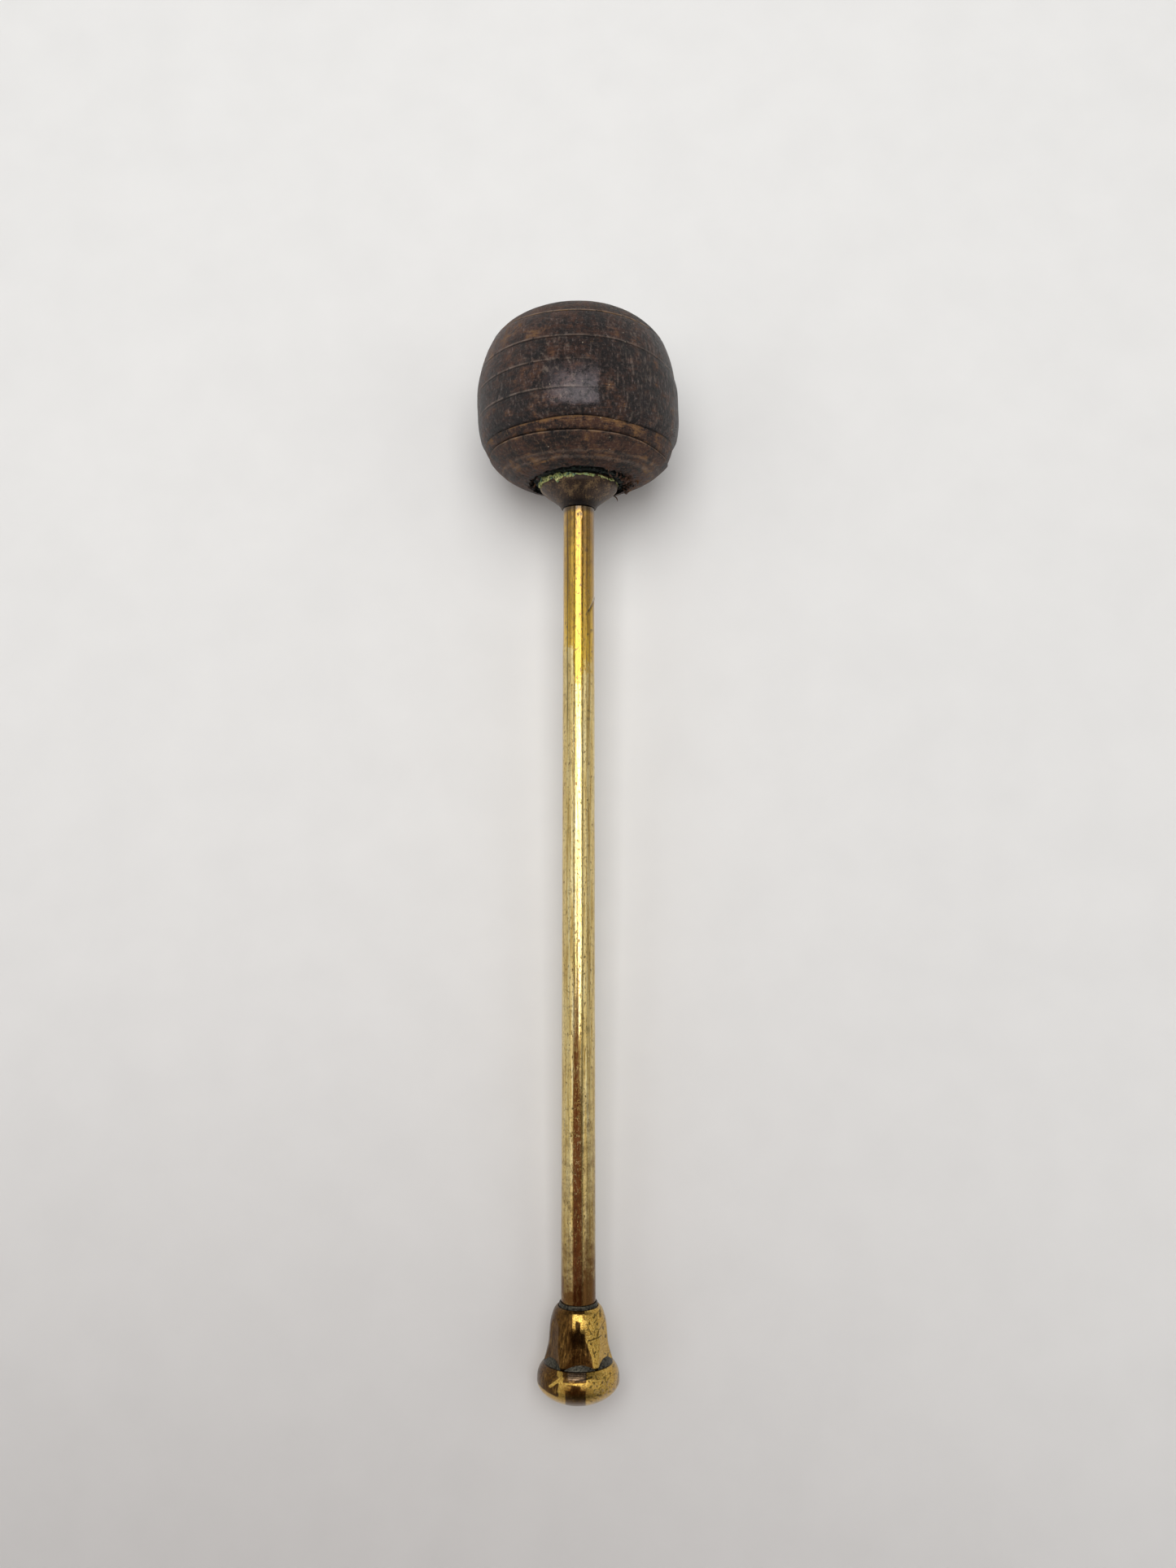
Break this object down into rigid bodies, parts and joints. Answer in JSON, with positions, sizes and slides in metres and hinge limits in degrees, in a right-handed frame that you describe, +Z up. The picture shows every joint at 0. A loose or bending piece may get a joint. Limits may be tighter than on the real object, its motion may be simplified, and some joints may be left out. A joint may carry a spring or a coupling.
{
  "type": "gong beater",
  "caption": "Hand beater for a dinner gong: a barrel head of stacked leather discs on a slim brass tube, with a turned brass knob at its end.",
  "frame": {"origin": "on the table, under the middle of the beater as it lies on its side", "axes": "+Y along the handle towards the leather head, +Z up from the table, +X to the right seen from above with the head away"},
  "size_m": [0.063, 0.3348, 0.0629],
  "materials": {
    "brass": "old lacquered brass, worn and spotted",
    "tarnished_brass": "dark brown tarnish with green corrosion at the rim",
    "grey_metal": "dull slate grey",
    "iron": "dull, lightly rusted",
    "black_leather": "burnished black leather, scuffed",
    "brown_leather": "dry brown leather with worn tan edges"
  },
  "bodies": {
    "root": {"knob_bulb": "brass", "knob_collar": "grey_metal", "knob_bell": "brass", "neck_ring": "grey_metal", "handle_tube": "brass", "cross_pin": "iron", "head_spindle": "iron", "neck_ferrule": "tarnished_brass", "base_washer": "tarnished_brass", "leather_disc_1_base": "brown_leather", "leather_disc_2_thin": "brown_leather", "leather_disc_3": "black_leather", "leather_disc_4": "black_leather", "leather_disc_5": "black_leather", "leather_disc_6": "black_leather", "leather_disc_7_crown": "brown_leather", "crown_washer": "brass", "crown_nut": "brass"}
  },
  "joints": []
}
